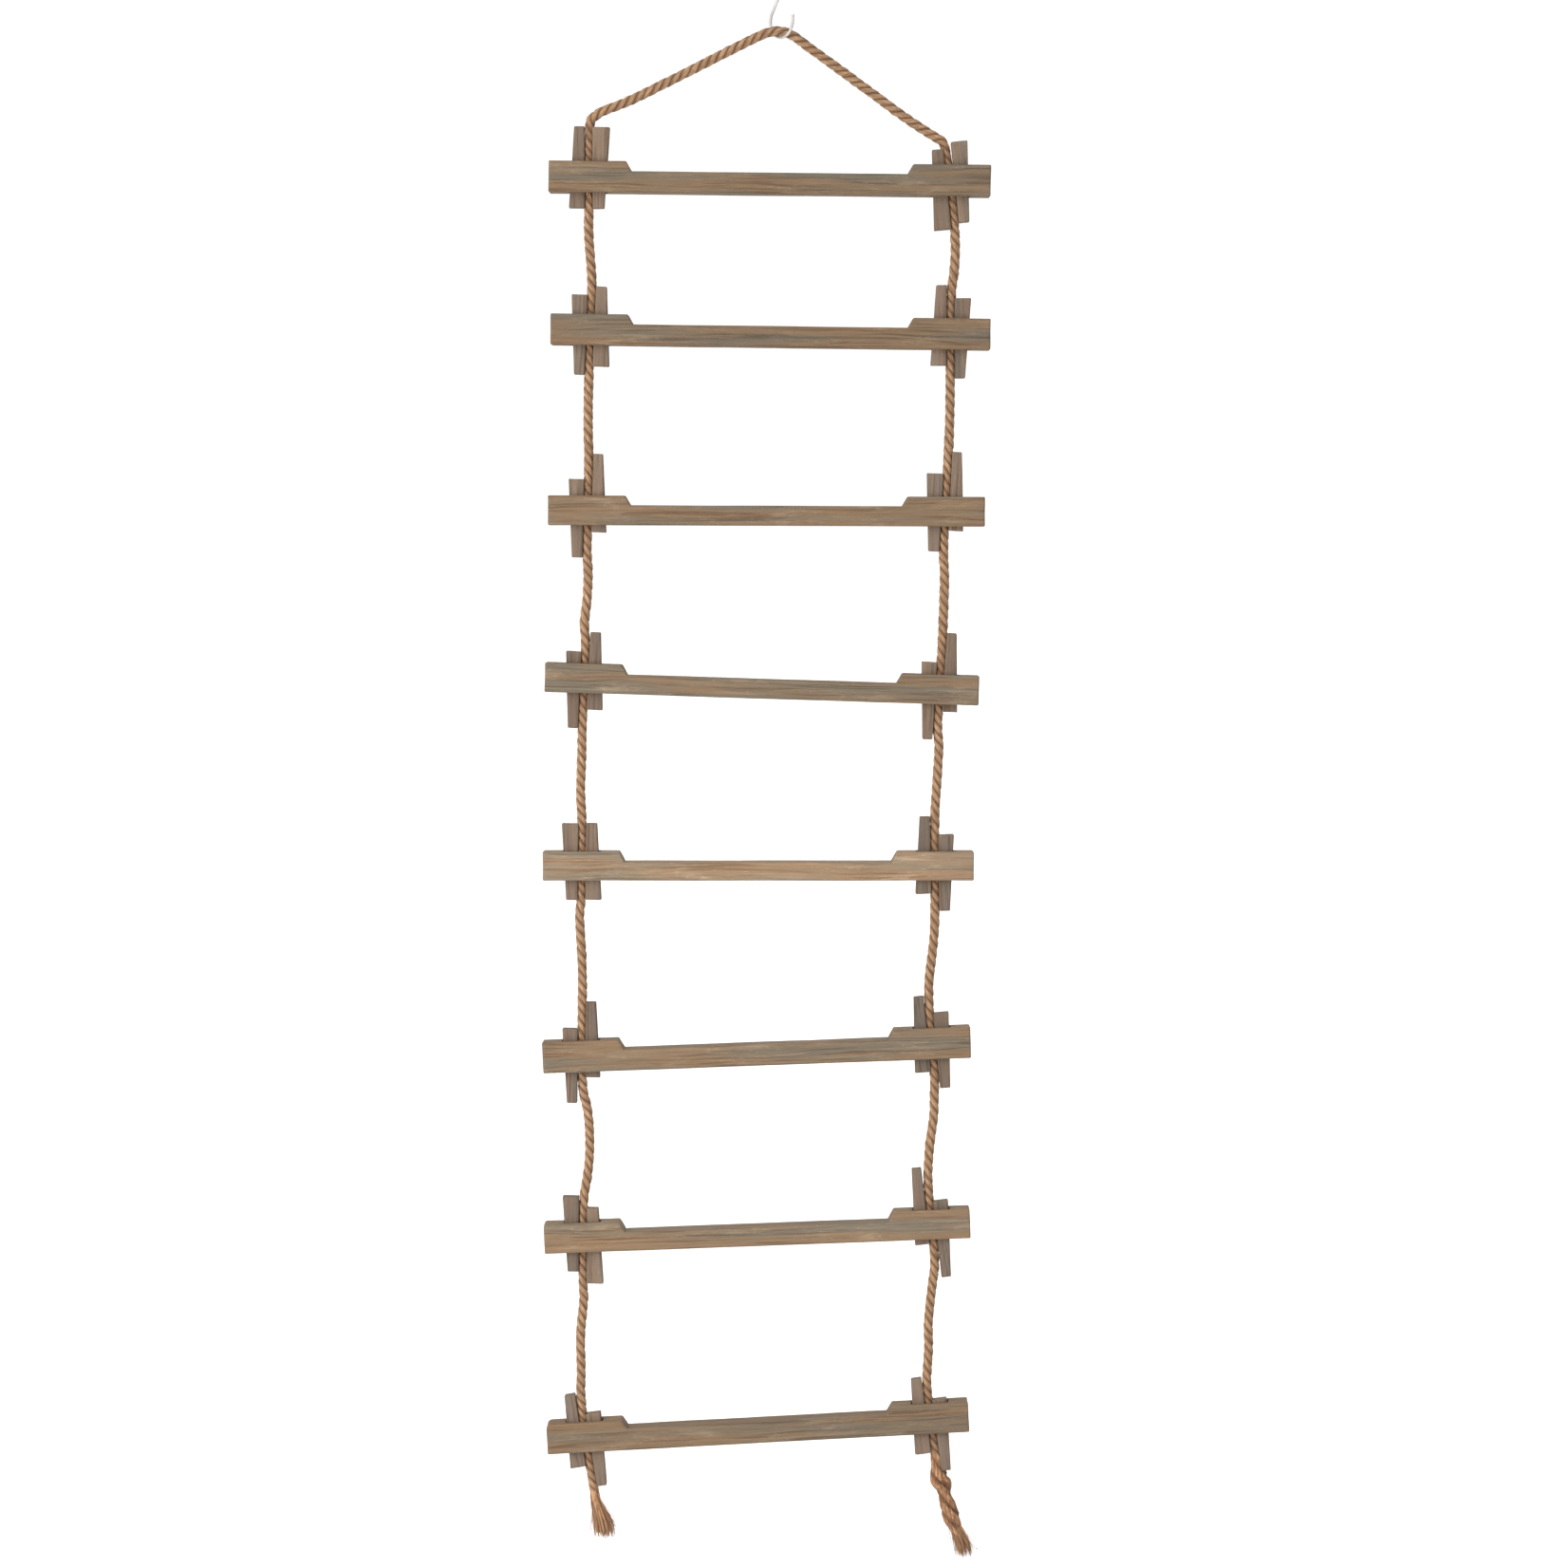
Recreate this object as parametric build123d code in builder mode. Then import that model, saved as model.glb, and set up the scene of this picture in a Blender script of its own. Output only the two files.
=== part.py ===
"""Wooden rope ladder: eight rungs threaded on one laid rope that hangs over an S-hook.

Each end of a rung has an upright slot.  The rope passes through the slot between two opposed
wedges, and driving the wedges together pinches it.  Frame: the origin is the point where the
hook's upper bowl bears on its support, +X to the right, +Y to the back, +Z up, millimetres.
"""

import os
from math import atan2, cos, degrees, radians, sin, tan

from build123d import *

# Rope
ROPE_DIAMETER = 10.0
ROPE_RADIUS = ROPE_DIAMETER / 2
PIVOT_GAP = 0.3  # clearance between the two rope ends that meet at a fold

# Rungs
RUNG_DEPTH = 25.0
SHOULDER_LENGTH = 80.5  # full-height end that holds the slot
STEP_FOOT = 86.5  # from the rung's end to the foot of the sloped step
MORTISE_SHARE = 0.41  # slot centre from the rung's middle, as a share of its length
MORTISE_WIDTH = 39.8
MORTISE_DEPTH = 12.6
RUNG_CHAMFER = 1.5

# Wedges
WEDGE_DEPTH = 12.0
WEDGE_MIDDLE = 13.3  # thickness where the wedge crosses the rung's mid-height
WEDGE_TAPER = 4.05  # degrees
WEDGE_CHAMFER = 1.0
WEDGE_GAP = 0.25  # from the rope to a wedge's inner face

# Hook
WIRE_DIAMETER = 3.0
BOWL_RADIUS = 17.0  # to the wire's centreline
HOOK_TURN = 47.0  # the hook's plane, turned about Z so that its lower tip comes forward
TIP_RISE = 5.0  # straight ends beyond the bowls' sides
ROPE_APEX = -87.4  # height of the rope's centreline over the lower bowl

# One row for each rung: middle x, middle z, tilt in degrees (right end low is plus), length,
# height over the shoulders, height of the slim bar
RUNGS = {
    1: (-12.4, -239.9, 0.6, 459.2, 32.2, 22.0),
    2: (-11.6, -398.0, 0.7, 458.3, 32.3, 21.9),
    3: (-15.9, -584.2, 0.2, 456.7, 31.0, 20.9),
    4: (-20.7, -765.1, 1.8, 455.5, 31.0, 20.4),
    5: (-24.6, -957.0, 0.0, 453.7, 30.4, 19.4),
    6: (-26.4, -1152.2, -2.1, 452.5, 33.0, 22.4),
    7: (-26.0, -1345.7, -2.15, 452.0, 31.4, 20.4),
    8: (-25.4, -1557.5, -3.1, 449.5, 32.2, 22.9),
}

# One row for each slot: which way the left wedge's wide end points, the rope's lean in degrees
# (top to the right is plus), and where the left and the right wedge start and end, from the
# rung's mid-height.  The right wedge always points the other way.
PACKS = {
    (1, "left"): ("down", 0.0, (-31.8, 52.2), (-32.4, 51.4)),
    (1, "right"): ("down", -5.8, (-49.4, 33.5), (-43.9, 39.7)),
    (2, "left"): ("up", 2.6, (-47.0, 36.0), (-37.7, 45.3)),
    (2, "right"): ("down", 0.0, (-32.7, 51.0), (-45.8, 37.2)),
    (3, "left"): ("up", 1.9, (-49.6, 32.4), (-22.8, 59.4)),
    (3, "right"): ("up", 2.9, (-42.3, 39.2), (-19.8, 62.7)),
    (4, "left"): ("up", 3.1, (-53.2, 27.5), (-33.0, 48.8)),
    (4, "right"): ("up", 3.4, (-53.5, 28.0), (-23.4, 59.5)),
    (5, "left"): ("up", 1.0, (-36.5, 44.3), (-36.0, 44.8)),
    (5, "right"): ("down", -1.2, (-29.5, 52.0), (-48.0, 32.5)),
    (6, "left"): ("up", 0.8, (-50.5, 28.5), (-23.0, 57.0)),
    (6, "right"): ("down", -5.5, (-30.3, 50.4), (-49.0, 31.2)),
    (7, "left"): ("up", 0.5, (-37.5, 42.9), (-50.3, 30.5)),
    (7, "right"): ("down", -6.6, (-21.3, 60.5), (-58.5, 23.2)),
    (8, "left"): ("down", -8.5, (-32.5, 45.7), (-56.0, 23.0)),
    (8, "right"): ("down", -7.5, (-38.0, 43.0), (-59.0, 18.2)),
}

# Height of the fold axis in each gap between rungs, by the number of the rung above it
FOLDS = {1: -316.0, 2: -470.0, 3: -661.0, 4: -860.0, 5: -1030.0, 6: -1238.0, 7: -1434.0}

# The rope's straight stretch through each slot reaches this far above and below mid-height
STRAIGHTS = {
    (1, "left"): (55, 36),
    (1, "right"): (39, 56),
    (2, "left"): (44, 46),
    (2, "right"): (44, 47),
    (3, "left"): (50, 45),
    (3, "right"): (50, 44),
    (4, "left"): (40, 50),
    (4, "right"): (45, 44),
    (5, "left"): (46, 38),
    (5, "right"): (43, 50),
    (6, "left"): (50, 34),
    (6, "right"): (54, 38),
    (7, "left"): (42, 53),
    (7, "right"): (36, 42),
    (8, "left"): (38, 66),
    (8, "right"): (34, 66),
}

# Where the rope wanders between two slots: points in order down the rope, as (x, z)
WANDERS = {
    (1, "left"): [(-201.4, -293.0), (-198.6, -333.0)],
    (1, "right"): [(180.6, -334.0)],
    (2, "left"): [(-202.6, -497.0)],
    (2, "right"): [(176.0, -494.0)],
    (3, "left"): [(-202.8, -646.0), (-203.8, -676.0), (-208.0, -704.0)],
    (3, "right"): [(171.2, -646.0), (170.4, -684.0)],
    (4, "left"): [(-210.3, -842.0), (-212.4, -880.0)],
    (4, "right"): [(165.9, -826.0), (165.2, -845.0)],
    (5, "left"): [(-214.0, -1009.0), (-211.2, -1052.0), (-210.6, -1076.0)],
    (5, "right"): [(160.4, -1044.0)],
    (6, "left"): [(-204.8, -1218.0), (-203.0, -1258.0), (-206.4, -1292.0)],
    (6, "right"): [(161.7, -1204.0), (161.9, -1222.0), (155.8, -1264.0)],
    (7, "left"): [(-209.9, -1419.0), (-214.8, -1458.0), (-213.3, -1500.0)],
    (7, "right"): [(160.4, -1404.0), (155.6, -1447.0), (157.0, -1470.0), (155.3, -1495.0)],
}

# The bight, from the left slot of rung 1 up over the hook and down to its right slot
BIGHT = [
    (-196.2, -175.6),
    (-184.5, -168.6),
    (-164.0, -162.2),
    (-113.0, -137.2),
    (-34.0, -97.5),
    (-13.0, -86.7),
    (6.0, -86.3),
    (30.5, -105.8),
    (88.2, -147.0),
    (134.0, -180.6),
    (160.0, -196.6),
]

# Frayed ends, below the last slots: where each ends, and (share of its length, radius) on the way
TAIL_ENDS = {"left": (-190.0, -1678.0), "right": (195.0, -1701.0)}
TAIL_SHAPES = {
    "left": [(0.0, 5.0), (0.35, 6.2), (0.6, 9.0), (0.85, 13.2), (1.0, 12.0)],
    "right": [
        (0.0, 5.0),
        (0.07, 10.0),
        (0.16, 10.0),
        (0.22, 6.0),
        (0.36, 9.0),
        (0.52, 9.0),
        (0.6, 7.5),
        (0.72, 11.5),
        (1.0, 10.5),
    ],
}


def lean(tilt):
    """Unit vectors across and up a piece in the XZ plane whose top leans right by tilt degrees."""
    across = Vector(cos(radians(tilt)), 0, -sin(radians(tilt)))
    up = Vector(sin(radians(tilt)), 0, cos(radians(tilt)))
    return across, up


def slot_centre(number, side):
    """The middle of a rung's slot, where the rope crosses the rung's mid-height."""
    x, z, tilt, length, _, _ = RUNGS[number]
    across, _ = lean(tilt)
    sign = -1 if side == "left" else 1
    return Vector(x, 0, z) + across * (sign * MORTISE_SHARE * length)


def straight(number, side):
    """The two ends, top first, of the rope's straight stretch through a slot."""
    _, up = lean(PACKS[number, side][1])
    above, below = STRAIGHTS[number, side]
    centre = slot_centre(number, side)
    return [centre + up * above, centre - up * below]


def span(number, side):
    """The rope's points from the slot of a rung down to the next rung's slot."""
    wander = [Vector(x, 0, z) for x, z in WANDERS.get((number, side), [])]
    return [straight(number, side)[1], *wander, straight(number + 1, side)[0]]


def split_at_fold(number, side):
    """The fold point below a rung, with the span's points above it and below it."""
    points = span(number, side)
    height = FOLDS[number]
    above = [p for p in points if p.Z > height]
    below = [p for p in points if p.Z < height]
    share = (above[-1].Z - height) / (above[-1].Z - below[0].Z)
    return above, above[-1] + (below[0] - above[-1]) * share, below


def drawn_back(pivot, before):
    """The end of the upper rope piece, drawn back from the fold point so that it can turn."""
    return pivot + (before - pivot).normalized() * (ROPE_RADIUS + PIVOT_GAP)


def corner_radii(points):
    """For each corner of a route, the largest arc that its two runs allow."""
    radii = []
    for before, here, after in zip(points, points[1:], points[2:]):
        turn = (here - before).get_angle(after - here)
        shorter = min((here - before).length, (after - here).length)
        radii.append(0.45 * shorter / tan(radians(turn) / 2))
    return radii


def rope(name, points, ball_ends=()):
    """A round tube along the route, with a ball at each end that turns in a fold."""
    radii = corner_radii(points)
    print(name, "radii", [round(r) for r in radii])
    with BuildPart() as piece:
        with BuildLine() as route:
            FilletPolyline(*points, radius=radii)
        with BuildSketch(Plane(origin=route.line @ 0, z_dir=route.line % 0)):
            Circle(ROPE_RADIUS)
        sweep()
        for end in ball_ends:
            with Locations(end):
                Sphere(ROPE_RADIUS)
    save(piece, name)


def save(piece, name):
    """Label one sub-part and write it to its own file."""
    piece.part.label = name
    export_step(piece.part, f"parts/{name}.step")


def bight():
    """The rope over the hook, with its two falls through the slots of the first rung."""
    falls = {}
    for side in ("left", "right"):
        above, pivot, _ = split_at_fold(1, side)
        falls[side] = [*above, drawn_back(pivot, above[-1])]
    up_left = [*reversed(falls["left"]), straight(1, "left")[0]]
    down_right = [straight(1, "right")[0], *falls["right"]]
    over = [Vector(x, 0, z) for x, z in BIGHT]
    rope("rope_bight", [*up_left, *over, *down_right])


def fall(number, side):
    """The rope from the fold above a rung, through its slot, to the fold or the tail below it."""
    _, top_pivot, below = split_at_fold(number - 1, side)
    points = [top_pivot, *below, straight(number, side)[1]]
    if number in FOLDS:
        above, pivot, _ = split_at_fold(number, side)
        points += [*above[1:], drawn_back(pivot, above[-1])]
    rope(f"rope_{side}_{number}", points, ball_ends=[top_pivot])


def tail(side):
    """A frayed end of the rope, as a plain turned solid of the tuft's outer size."""
    start = straight(len(RUNGS), side)[1]
    _, rope_up = lean(PACKS[len(RUNGS), side][1])
    x, z = TAIL_ENDS[side]
    along = Vector(x, 0, z) - start
    with BuildPart() as piece:
        with BuildSketch(Plane(origin=start, x_dir=along, z_dir=(0, -1, 0))):
            with BuildLine():
                outline = [(share * along.length, radius) for share, radius in TAIL_SHAPES[side]]
                neck = [(-ROPE_RADIUS, 0), (-ROPE_RADIUS, ROPE_RADIUS)]
                Polyline(*neck, *outline, (along.length, 0), close=True)
            make_face()
        revolve(axis=Axis(start, along))
        split(bisect_by=Plane(origin=start, z_dir=-rope_up), keep=Keep.TOP)
    save(piece, f"rope_tail_{side}")


def rung(number):
    """A rung: a slim bar with a full-height shoulder and an upright slot at each end."""
    x, z, tilt, length, height, bar = RUNGS[number]
    across, up = lean(tilt)
    half, top = length / 2, height / 2
    with BuildPart() as piece:
        with BuildSketch(Plane(origin=(x, 0, z), x_dir=across, z_dir=(0, -1, 0))):
            Polygon(
                (-half, -top),
                (half, -top),
                (half, top),
                (half - SHOULDER_LENGTH, top),
                (half - STEP_FOOT, bar - top),
                (STEP_FOOT - half, bar - top),
                (SHOULDER_LENGTH - half, top),
                (-half, top),
                align=None,
            )
        extrude(amount=RUNG_DEPTH / 2, both=True)
        chamfer(piece.edges(), RUNG_CHAMFER)
        with BuildSketch(Plane(origin=(x, 0, z), x_dir=across, z_dir=up)):
            with GridLocations(2 * MORTISE_SHARE * length, 0, 2, 1):
                Rectangle(MORTISE_WIDTH, MORTISE_DEPTH)
        extrude(amount=height, both=True, mode=Mode.SUBTRACT)
    save(piece, f"rung_{number}")


def wedge(number, side, hand):
    """One of the two opposed wedges in a slot.  Hand is left or right of the rope."""
    left_points, rope_lean, left_ends, right_ends = PACKS[number, side]
    across, _ = lean(rope_lean)
    sign = -1 if hand == "left" else 1
    low, high = left_ends if hand == "left" else right_ends
    widens_up = (left_points == "up") == (hand == "left")
    growth = tan(radians(WEDGE_TAPER)) * (1 if widens_up else -1)
    inner = ROPE_RADIUS + WEDGE_GAP
    outer_low = inner + WEDGE_MIDDLE + low * growth
    outer_high = inner + WEDGE_MIDDLE + high * growth
    with BuildPart() as piece:
        with BuildSketch(Plane(origin=slot_centre(number, side), x_dir=across, z_dir=(0, -1, 0))):
            Polygon(
                (sign * inner, low),
                (sign * outer_low, low),
                (sign * outer_high, high),
                (sign * inner, high),
                align=None,
            )
        extrude(amount=WEDGE_DEPTH / 2, both=True)
        chamfer(piece.edges(), WEDGE_CHAMFER)
    place = "outer" if hand == side else "inner"
    save(piece, f"wedge_{side}_{number}_{place}")


def hook():
    """An S-hook of round wire: the lower bowl carries the rope, the upper bowl hangs it all."""
    across = Vector(cos(radians(HOOK_TURN)), -sin(radians(HOOK_TURN)), 0)
    wire = WIRE_DIAMETER / 2
    low_middle = ROPE_APEX - ROPE_RADIUS - PIVOT_GAP - wire + BOWL_RADIUS
    high_middle = wire - BOWL_RADIUS
    slope = degrees(atan2(2 * BOWL_RADIUS, ((high_middle - low_middle) ** 2 - 4 * BOWL_RADIUS**2) ** 0.5))
    with BuildPart() as piece:
        with BuildLine(Plane(origin=(0, 0, 0), x_dir=across, z_dir=across.cross(Vector(0, 0, 1)))) as path:
            Line((BOWL_RADIUS, low_middle + TIP_RISE), (BOWL_RADIUS, low_middle))
            lower = CenterArc((0, low_middle), BOWL_RADIUS, 0, -180 - slope)
            upper = CenterArc((0, high_middle), BOWL_RADIUS, 180, -180 - slope)
            Line(lower @ 1, upper @ 1)
            Line((-BOWL_RADIUS, high_middle), (-BOWL_RADIUS, high_middle - TIP_RISE))
        with BuildSketch(Plane(origin=path.line @ 0, z_dir=path.line % 0)):
            Circle(wire)
        sweep()
    save(piece, "s_hook")


os.makedirs("parts", exist_ok=True)
hook()
bight()
for rung_number in RUNGS:
    rung(rung_number)
    for slot_side in ("left", "right"):
        if rung_number > 1:
            fall(rung_number, slot_side)
        for wedge_hand in ("left", "right"):
            wedge(rung_number, slot_side, wedge_hand)
tail("left")
tail("right")
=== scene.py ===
"""Looks for a wooden rope ladder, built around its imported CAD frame.

Metres, +Z up, and the front faces -Y.  The ladder's eight rungs are threaded on one laid rope,
which hangs over a wire S-hook.  Two opposed wedges pinch the rope in each slot.  The tables repeat
the CAD's placing of the rungs, the wedges and the rope's route.
"""

import math
import random

import bmesh
import bpy
import numpy as np
from mathutils import Matrix, Vector, noise


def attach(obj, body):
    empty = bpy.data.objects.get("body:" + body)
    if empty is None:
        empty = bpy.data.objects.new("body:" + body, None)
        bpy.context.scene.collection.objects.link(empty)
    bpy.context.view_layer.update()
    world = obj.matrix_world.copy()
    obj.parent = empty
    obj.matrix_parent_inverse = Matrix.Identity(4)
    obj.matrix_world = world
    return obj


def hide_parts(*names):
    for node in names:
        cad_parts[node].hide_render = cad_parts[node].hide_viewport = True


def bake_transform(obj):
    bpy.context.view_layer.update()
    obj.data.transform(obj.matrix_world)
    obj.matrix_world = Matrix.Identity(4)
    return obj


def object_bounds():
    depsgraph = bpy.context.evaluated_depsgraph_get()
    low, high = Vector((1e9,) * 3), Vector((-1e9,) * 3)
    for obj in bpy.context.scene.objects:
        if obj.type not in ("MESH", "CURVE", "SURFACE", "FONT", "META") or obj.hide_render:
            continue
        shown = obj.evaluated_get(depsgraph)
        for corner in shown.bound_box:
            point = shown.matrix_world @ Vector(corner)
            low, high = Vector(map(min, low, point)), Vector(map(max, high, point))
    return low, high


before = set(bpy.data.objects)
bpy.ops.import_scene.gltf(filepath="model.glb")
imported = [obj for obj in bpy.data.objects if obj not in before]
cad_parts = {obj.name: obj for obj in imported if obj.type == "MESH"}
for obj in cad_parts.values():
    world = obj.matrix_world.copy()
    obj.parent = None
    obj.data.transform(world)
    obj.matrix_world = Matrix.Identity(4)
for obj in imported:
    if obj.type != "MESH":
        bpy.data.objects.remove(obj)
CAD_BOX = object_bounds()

# ---------------------------------------------------------------- driving sizes

ROPE_DIAMETER = 0.010
ROPE_RADIUS = ROPE_DIAMETER / 2
LAY_LENGTH = 0.0315  # one turn of a strand round the rope
STRAND_RADIUS = 0.00255
STRAND_OFFSET = 0.0025  # strand's centre from the rope's
RING_STEP = 0.0012  # between two rings of a strand's mesh
STRAND_FLATTENING = 1.3  # a strand's width round the rope against its height
PINCH = 0.0014  # how much narrower the wedges press the rope on each side
PINCH_FADE = 0.010  # the length of rope over which that begins
STRAND_SIDES = 24
YARNS = 6  # in a strand
REACH_LIMIT = 0.0056  # how far a strand may stand out to the side of the tight rope's centre
GAP_DEPTH = 0.985  # the share of a strand's reach below which the painted shade in the gaps between strands begins
GAP_FADE = 0.08  # and over which it gets to its full
# Painted shade on the rope where both wedges press it
PINCH_SHADE = 0.35
YARN_SHADE = 0.9  # painted shade between the yarns of a loosened strand

# Loose fibres for each metre of strand, and fibre ends for each metre of rope
STRAND_FIBRES, TAIL_STRAND_FIBRES = 150, 1300
ROPE_FUZZ, TAIL_FUZZ = 420, 700
LOOSE_WIDTH = (0.0003, 0.0006)
FUZZ_WIDTH = (0.00012, 0.00024)

RUNG_DEPTH = 0.025
SHOULDER_LENGTH = 0.0805
STEP_FOOT = 0.0865  # from a rung's end to where its slim bar begins
MORTISE_SHARE = 0.41  # a slot's distance from the rung's middle, against the rung's length
MORTISE_WIDTH = 0.0398
MORTISE_DEPTH = 0.0126

WEDGE_DEPTH = 0.012
WEDGE_MIDDLE = 0.0133  # a wedge's thickness at mid-height
WEDGE_TAPER = 4.05  # degrees
WEDGE_DATUM = 0.00525  # from the rope's centre to where a wedge's thickness is counted from
WEDGE_INNER = 0.0041  # from the rope's centre to the inner face as drawn, pressed to the rope

# One row for each rung: middle x, middle z, tilt in degrees (right end low is plus), length,
# height over the shoulders, height of the slim bar
RUNGS = {
    1: (-0.0124, -0.2399, 0.6, 0.4592, 0.0322, 0.0220),
    2: (-0.0116, -0.3980, 0.7, 0.4583, 0.0323, 0.0219),
    3: (-0.0159, -0.5842, 0.2, 0.4567, 0.0310, 0.0209),
    4: (-0.0207, -0.7651, 1.8, 0.4555, 0.0310, 0.0204),
    5: (-0.0246, -0.9570, 0.0, 0.4537, 0.0304, 0.0194),
    6: (-0.0264, -1.1522, -2.1, 0.4525, 0.0330, 0.0224),
    7: (-0.0260, -1.3457, -2.15, 0.4520, 0.0314, 0.0204),
    8: (-0.0254, -1.5575, -3.1, 0.4495, 0.0322, 0.0229),
}

# One row for each slot: which way the left wedge's wide end points, the rope's lean in degrees,
# and where the left and the right wedge start and end, from the rung's mid-height
PACKS = {
    (1, "left"): ("down", 0.0, (-0.0318, 0.0522), (-0.0324, 0.0514)),
    (1, "right"): ("down", -5.8, (-0.0494, 0.0335), (-0.0439, 0.0397)),
    (2, "left"): ("up", 2.6, (-0.0470, 0.0360), (-0.0377, 0.0453)),
    (2, "right"): ("down", 0.0, (-0.0327, 0.0510), (-0.0458, 0.0372)),
    (3, "left"): ("up", 1.9, (-0.0496, 0.0324), (-0.0228, 0.0594)),
    (3, "right"): ("up", 2.9, (-0.0423, 0.0392), (-0.0198, 0.0627)),
    (4, "left"): ("up", 3.1, (-0.0532, 0.0275), (-0.0330, 0.0488)),
    (4, "right"): ("up", 3.4, (-0.0535, 0.0280), (-0.0234, 0.0595)),
    (5, "left"): ("up", 1.0, (-0.0365, 0.0443), (-0.0360, 0.0448)),
    (5, "right"): ("down", -1.2, (-0.0295, 0.0520), (-0.0480, 0.0325)),
    (6, "left"): ("up", 0.8, (-0.0505, 0.0285), (-0.0230, 0.0570)),
    (6, "right"): ("down", -5.5, (-0.0303, 0.0504), (-0.0490, 0.0312)),
    (7, "left"): ("up", 0.5, (-0.0375, 0.0429), (-0.0503, 0.0305)),
    (7, "right"): ("down", -6.6, (-0.0213, 0.0605), (-0.0585, 0.0232)),
    (8, "left"): ("down", -8.5, (-0.0325, 0.0457), (-0.0560, 0.0230)),
    (8, "right"): ("down", -7.5, (-0.0380, 0.0430), (-0.0590, 0.0182)),
}

# Height at which the ladder folds between a rung and the next
FOLDS = {1: -0.316, 2: -0.470, 3: -0.661, 4: -0.860, 5: -1.030, 6: -1.238, 7: -1.434}

# The rope's straight stretch through each slot reaches this far above and below mid-height
STRAIGHTS = {
    (1, "left"): (0.055, 0.036),
    (1, "right"): (0.039, 0.056),
    (2, "left"): (0.044, 0.046),
    (2, "right"): (0.044, 0.047),
    (3, "left"): (0.050, 0.045),
    (3, "right"): (0.050, 0.044),
    (4, "left"): (0.040, 0.050),
    (4, "right"): (0.045, 0.044),
    (5, "left"): (0.046, 0.038),
    (5, "right"): (0.043, 0.050),
    (6, "left"): (0.050, 0.034),
    (6, "right"): (0.054, 0.038),
    (7, "left"): (0.042, 0.053),
    (7, "right"): (0.036, 0.042),
    (8, "left"): (0.038, 0.066),
    (8, "right"): (0.034, 0.066),
}

# Where the rope wanders between two slots, and its way over the hook, as (x, z)
WANDERS = {
    (1, "left"): [(-0.2014, -0.2930), (-0.1986, -0.3330)],
    (1, "right"): [(0.1806, -0.3340)],
    (2, "left"): [(-0.2026, -0.4970)],
    (2, "right"): [(0.1760, -0.4940)],
    (3, "left"): [(-0.2028, -0.6460), (-0.2038, -0.6760), (-0.2080, -0.7040)],
    (3, "right"): [(0.1712, -0.6460), (0.1704, -0.6840)],
    (4, "left"): [(-0.2103, -0.8420), (-0.2124, -0.8800)],
    (4, "right"): [(0.1659, -0.8260), (0.1652, -0.8450)],
    (5, "left"): [(-0.2140, -1.0090), (-0.2112, -1.0520), (-0.2106, -1.0760)],
    (5, "right"): [(0.1604, -1.0440)],
    (6, "left"): [(-0.2048, -1.2180), (-0.2030, -1.2580), (-0.2064, -1.2920)],
    (6, "right"): [(0.1617, -1.2040), (0.1619, -1.2220), (0.1558, -1.2640)],
    (7, "left"): [(-0.2099, -1.4190), (-0.2148, -1.4580), (-0.2133, -1.5000)],
    (7, "right"): [(0.1604, -1.4040), (0.1556, -1.4470), (0.1570, -1.4700), (0.1553, -1.4950)],
}
BIGHT = [
    (-0.1962, -0.1756),
    (-0.1845, -0.1686),
    (-0.1640, -0.1622),
    (-0.1130, -0.1372),
    (-0.0340, -0.0975),
    (-0.0130, -0.0876),
    (0.0060, -0.0874),
    (0.0305, -0.1058),
    (0.0882, -0.1470),
    (0.1340, -0.1806),
    (0.1600, -0.1966),
]

# The frayed ends: the way of each below the last straight stretch, as (x, z)
TAILS = {
    "left": [(-0.1952, -1.6600), (-0.1900, -1.6780)],
    "right": [(0.1725, -1.6210), (0.1745, -1.6330), (0.1815, -1.6560), (0.1895, -1.6810)],
}

FRONT = Vector((0, -1, 0))


# ---------------------------------------------------------------- camera

CAMERA_AT = (0.0025, -3.750, -0.605)
CAMERA_DIP = 4.0574  # degrees below level
CAMERA_LENS = 81.92

camera = bpy.data.objects.new("camera", bpy.data.cameras.new("camera"))
camera.location = CAMERA_AT
camera.rotation_euler = (math.radians(90 - CAMERA_DIP), 0, 0)
camera.data.lens = CAMERA_LENS
camera.data.sensor_width = 36
bpy.context.scene.collection.objects.link(camera)
bpy.context.scene.camera = camera


# ---------------------------------------------------------------- the rope's route


def lean(tilt):
    """Unit vectors across and up a piece in the XZ plane whose top leans right by tilt degrees."""
    turn = math.radians(tilt)
    across = Vector((math.cos(turn), 0, -math.sin(turn)))
    up = Vector((math.sin(turn), 0, math.cos(turn)))
    return across, up


def slot_centre(number, side):
    """The middle of a rung's slot, where the rope crosses the rung's mid-height."""
    x, z, tilt, length, _, _ = RUNGS[number]
    across, _ = lean(tilt)
    sign = -1 if side == "left" else 1
    return Vector((x, 0, z)) + across * (sign * MORTISE_SHARE * length)


def straight(number, side):
    """The two ends, top first, of the rope's straight stretch through a slot."""
    _, up = lean(PACKS[number, side][1])
    above, below = STRAIGHTS[number, side]
    centre = slot_centre(number, side)
    return [centre + up * above, centre - up * below]


def fall(side):
    """The rope's points on one side, from the first rung's slot down to the end of the fray."""
    points = []
    for number in RUNGS:
        points += straight(number, side)
        points += [Vector((x, 0, z)) for x, z in WANDERS.get((number, side), [])]
    return points + [Vector((x, 0, z)) for x, z in TAILS[side]]


def read_spline(points):
    """The points of a smooth line that has these control points."""
    data = bpy.data.curves.new("route", "CURVE")
    data.dimensions = "3D"
    data.resolution_u = 48
    spline = data.splines.new("NURBS")
    spline.points.add(len(points) - 1)
    for control, place in zip(spline.points, points):
        control.co = (*place, 1)
    spline.order_u = 3
    spline.use_endpoint_u = True
    line = bpy.data.objects.new("route", data)
    mesh = bpy.data.meshes.new_from_object(line)
    read = np.array([v.co for v in mesh.vertices])
    bpy.data.objects.remove(line)
    bpy.data.curves.remove(data)
    bpy.data.meshes.remove(mesh)
    return read


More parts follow.
